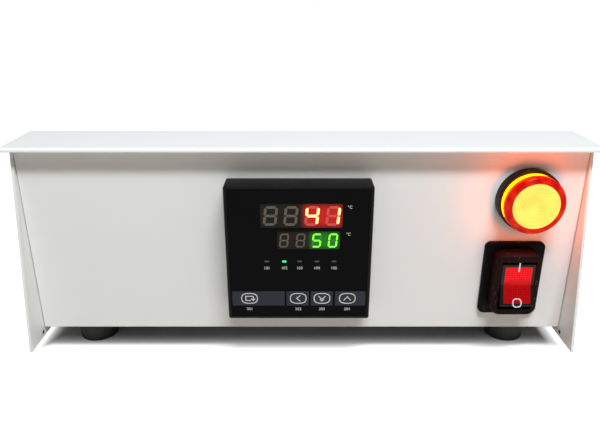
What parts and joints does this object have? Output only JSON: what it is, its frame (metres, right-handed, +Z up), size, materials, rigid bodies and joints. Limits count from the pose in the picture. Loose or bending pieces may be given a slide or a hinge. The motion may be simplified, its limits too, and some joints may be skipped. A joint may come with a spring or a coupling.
{
  "type": "benchtop reflow oven",
  "caption": "White sheet-metal benchtop reflow oven: front console with temperature controller, pilot lamp and rocker switch, low heated chamber behind under a glazed rear-hinged lid.",
  "frame": {"origin": "on the table, under the middle of the oven's width and depth", "axes": "+X to the right seen from the front, +Y to the rear, +Z up"},
  "size_m": [0.2874, 0.276, 0.1172],
  "materials": {
    "white_paint": "white powder coat, fine texture",
    "black_plastic": "moulded black, satin",
    "dark_key_plastic": "dark grey, satin",
    "display_lens": "smoked, glossy",
    "terminal_plastic": "moulded",
    "circuit_board": "green solder mask",
    "stainless": "brushed stainless",
    "zinc_steel": "bright zinc plate",
    "brass": "bright",
    "aluminium": "milled",
    "ceramic": "fired alumina",
    "glass_wool": "needled blanket",
    "silicone": "red silicone",
    "rubber": "moulded rubber",
    "amber_lens": "prismatic lens",
    "red_lens": "clear red",
    "glass": "clear tempered"
  },
  "bodies": {
    "case": {"base_pan": "zinc_steel", "chamber_seal": "silicone", "chamber_well": "stainless", "console_cover": "white_paint", "controller_bezel": "black_plastic", "controller_board": "circuit_board", "controller_case": "black_plastic", "controller_clamps": "black_plastic", "controller_terminals": "terminal_plastic", "deck_plate": "white_paint", "earth_stud": "zinc_steel", "foot_screws": "zinc_steel", "front_panel": "white_paint", "heater_plate": "aluminium", "heater_rods": "stainless", "hinge_base_leaves": "stainless", "hinge_pins": "stainless", "indicator_leds": "display_lens", "inlet_blades": "brass", "insulation_blanket": "glass_wool", "lamp_barrel": "black_plastic", "lamp_board": "circuit_board", "lamp_collar": "black_plastic", "lamp_lens": "amber_lens", "lamp_nut": "black_plastic", "lamp_rim": "red_lens", "lamp_seal": "silicone", "left_side_panel": "white_paint", "mains_inlet": "black_plastic", "plate_standoffs": "ceramic", "process_display": "display_lens", "rear_panel": "white_paint", "relay_heatsink": "aluminium", "right_side_panel": "white_paint", "rocker_pin": "zinc_steel", "rubber_feet": "rubber", "setpoint_display": "display_lens", "side_screws": "zinc_steel", "solid_state_relay": "terminal_plastic", "switch_body": "black_plastic", "switch_flange": "black_plastic", "switch_hood": "black_plastic", "switch_terminals": "brass", "terminal_strip": "terminal_plastic", "thermal_cutout": "zinc_steel", "thermocouple": "stainless", "top_plate": "white_paint"},
    "lid": {"lid_shell": "white_paint", "lid_glass": "glass", "lid_inner_frame": "stainless", "handle_grip": "black_plastic", "handle_posts": "stainless", "hinge_lid_leaves": "stainless"},
    "power_rocker": {"switch_rocker": "black_plastic", "rocker_lens": "red_lens"},
    "key_1": {"key_1": "dark_key_plastic"},
    "key_2": {"key_2": "dark_key_plastic"},
    "key_3": {"key_3": "dark_key_plastic"},
    "key_4": {"key_4": "dark_key_plastic"}
  },
  "joints": [
    {"name": "lid_hinge", "type": "hinge", "parent": "case", "child": "lid", "pos_m": [0, 0.13, 0.05], "axis": [-1, 0, 0], "range_deg": [0, 100]},
    {"name": "rocker_tilt", "type": "hinge", "parent": "case", "child": "power_rocker", "pos_m": [0.1093, -0.1262, 0.0464], "axis": [1, 0, 0], "range_deg": [0, 20]},
    {"name": "key_1_press", "type": "slide", "parent": "case", "child": "key_1", "axis": [0, 1, 0], "range_m": [0, 0.0004], "stiffness_N_per_m": 2000},
    {"name": "key_2_press", "type": "slide", "parent": "case", "child": "key_2", "axis": [0, 1, 0], "range_m": [0, 0.0004], "stiffness_N_per_m": 2000},
    {"name": "key_3_press", "type": "slide", "parent": "case", "child": "key_3", "axis": [0, 1, 0], "range_m": [0, 0.0004], "stiffness_N_per_m": 2000},
    {"name": "key_4_press", "type": "slide", "parent": "case", "child": "key_4", "axis": [0, 1, 0], "range_m": [0, 0.0004], "stiffness_N_per_m": 2000}
  ]
}
